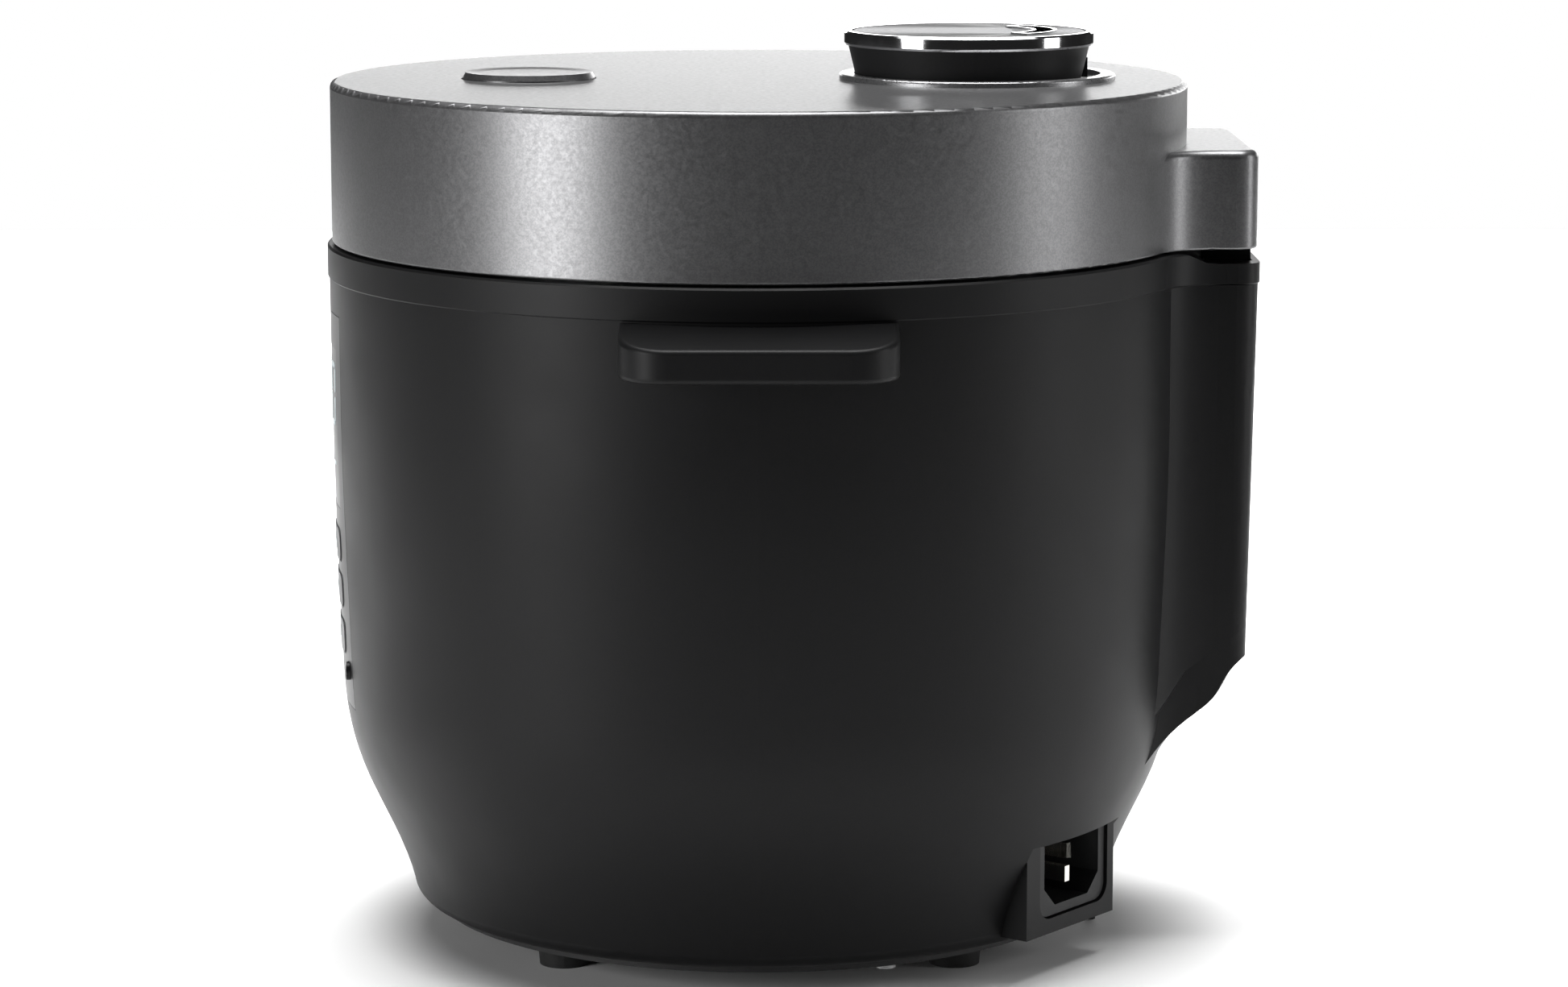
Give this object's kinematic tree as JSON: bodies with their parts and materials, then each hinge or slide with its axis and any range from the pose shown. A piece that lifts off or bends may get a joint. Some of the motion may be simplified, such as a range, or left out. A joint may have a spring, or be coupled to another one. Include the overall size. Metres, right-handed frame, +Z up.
{
  "type": "electric pressure cooker",
  "caption": "Round electric pressure cooker with a hinged locking lid, steam-release knob, lid button, front control panel, side handles and rear power inlet.",
  "frame": {"origin": "on the floor plane at the foot bottoms, under the middle of the whole object; the pot axis is 7.7 mm toward the panel from it", "axes": "+Z up, -Y toward the control panel at the front, +Y toward the lid hinge, +X toward the user's right-hand handle when facing the hinge from the panel"},
  "size_m": [0.259, 0.2379, 0.2335],
  "materials": {
    "body_black": "satin black plastic",
    "ring_black": "satin black plastic",
    "lid_paint": "metallic grey satin paint",
    "bezel_grey": "satin grey",
    "chrome": "polished",
    "spun_metal": "spun",
    "steel": "brushed",
    "steel_dark": "zinc plated",
    "aluminium": "cast",
    "gloss_black": "gloss",
    "smoked": "smoked gloss",
    "inner_black": "matt",
    "key_grey": "satin",
    "foot_rubber": "matt",
    "silicone": "translucent white",
    "float_red": "gloss",
    "brass_pins": "nickel plated",
    "board": "solder mask",
    "ceramic_white": "ceramic",
    "display": "display glass"
  },
  "bodies": {
    "base": {"body_shell": "body_black", "top_ring": "ring_black", "bottom_cover": "inner_black", "feet": "foot_rubber", "side_handle_right": "body_black", "side_handle_left": "body_black", "outer_pot": "aluminium", "inner_pot": "steel", "heater_plate": "aluminium", "sensor_bracket": "steel_dark", "sensor_spring": "steel", "pressure_switch": "steel_dark", "thermal_fuse": "ceramic_white", "power_board": "board", "panel_frame": "gloss_black", "panel_lens": "smoked", "display_module": "display", "control_board": "board", "inlet_socket": "inner_black", "inlet_pins": "brass_pins", "hinge_bracket": "steel_dark", "hinge_pin": "steel", "base_screws": "steel_dark"},
    "sensor": {"temp_sensor": "aluminium"},
    "lid": {"lid_cover": "lid_paint", "lid_carrier": "inner_black", "lid_screws": "steel_dark", "ring_rivets": "steel_dark", "pressure_lid": "steel", "sealing_gasket": "silicone", "center_stud": "inner_black", "exhaust_tube": "steel", "anti_clog_cap": "steel", "knob_bezel": "bezel_grey", "button_guide": "inner_black", "button_spring": "steel", "latch_pin": "steel"},
    "lock": {"lock_ring": "steel"},
    "knob": {"knob_skirt": "inner_black", "knob_rim": "chrome", "knob_disc": "spun_metal", "knob_vent_lip": "chrome", "knob_pinion": "inner_black"},
    "weight": {"pressure_weight": "inner_black"},
    "float": {"float_valve": "float_red"},
    "button": {"lid_button": "lid_paint"},
    "latch": {"latch_hook": "steel_dark"},
    "key_1": {"key_1": "key_grey"},
    "key_2": {"key_2": "key_grey"},
    "key_3": {"key_3": "key_grey"},
    "key_4": {"key_4": "key_grey"},
    "key_5": {"key_5": "key_grey"},
    "key_6": {"key_6": "key_grey"}
  },
  "joints": [
    {"name": "lid_hinge", "type": "hinge", "parent": "base", "child": "lid", "pos_m": [0, 0.1108, 0.189], "axis": [-1, 0, 0], "range_deg": [0, 78]},
    {"name": "lock_ring_turn", "type": "hinge", "parent": "lid", "child": "lock", "pos_m": [0, -0.0077, 0.193], "axis": [0, 0, 1], "range_deg": [0, 16.4]},
    {"name": "knob_turn", "type": "hinge", "parent": "lid", "child": "knob", "pos_m": [0, 0.0463, 0.225], "axis": [0, 0, 1], "range_deg": [0, 80]},
    {"name": "weight_lift", "type": "slide", "parent": "lid", "child": "weight", "axis": [0, 0, 1], "range_m": [0, 0.002]},
    {"name": "float_rise", "type": "slide", "parent": "lid", "child": "float", "axis": [0, 0, 1], "range_m": [0, 0.0035]},
    {"name": "button_press", "type": "slide", "parent": "lid", "child": "button", "axis": [0, 0, -1], "range_m": [0, 0.0025], "stiffness_N_per_m": 400, "springref_m": -0.001, "deforming": ["button_spring"]},
    {"name": "latch_swing", "type": "hinge", "parent": "lid", "child": "latch", "pos_m": [0, -0.1047, 0.2051], "axis": [-1, 0, 0], "range_deg": [0, 3.85]},
    {"name": "sensor_press", "type": "slide", "parent": "base", "child": "sensor", "axis": [0, 0, -1], "range_m": [0, 0.002], "stiffness_N_per_m": 500, "springref_m": -0.002, "deforming": ["sensor_spring"]},
    {"name": "key_1_press", "type": "slide", "parent": "base", "child": "key_1", "axis": [0, 1, 0], "range_m": [0, 0.001], "stiffness_N_per_m": 300, "springref_m": -0.0005},
    {"name": "key_2_press", "type": "slide", "parent": "base", "child": "key_2", "axis": [0, 1, 0], "range_m": [0, 0.001], "stiffness_N_per_m": 300, "springref_m": -0.0005},
    {"name": "key_3_press", "type": "slide", "parent": "base", "child": "key_3", "axis": [0, 1, 0], "range_m": [0, 0.001], "stiffness_N_per_m": 300, "springref_m": -0.0005},
    {"name": "key_4_press", "type": "slide", "parent": "base", "child": "key_4", "axis": [0, 1, 0], "range_m": [0, 0.001], "stiffness_N_per_m": 300, "springref_m": -0.0005},
    {"name": "key_5_press", "type": "slide", "parent": "base", "child": "key_5", "axis": [0, 1, 0], "range_m": [0, 0.001], "stiffness_N_per_m": 300, "springref_m": -0.0005},
    {"name": "key_6_press", "type": "slide", "parent": "base", "child": "key_6", "axis": [0, 1, 0], "range_m": [0, 0.001], "stiffness_N_per_m": 300, "springref_m": -0.0005}
  ],
  "couplings": [
    {"joint": "knob_turn", "follows": "lock_ring_turn", "ratio": 4.8571},
    {"joint": "latch_swing", "follows": "button_press", "rad_per_m": 26.455}
  ]
}
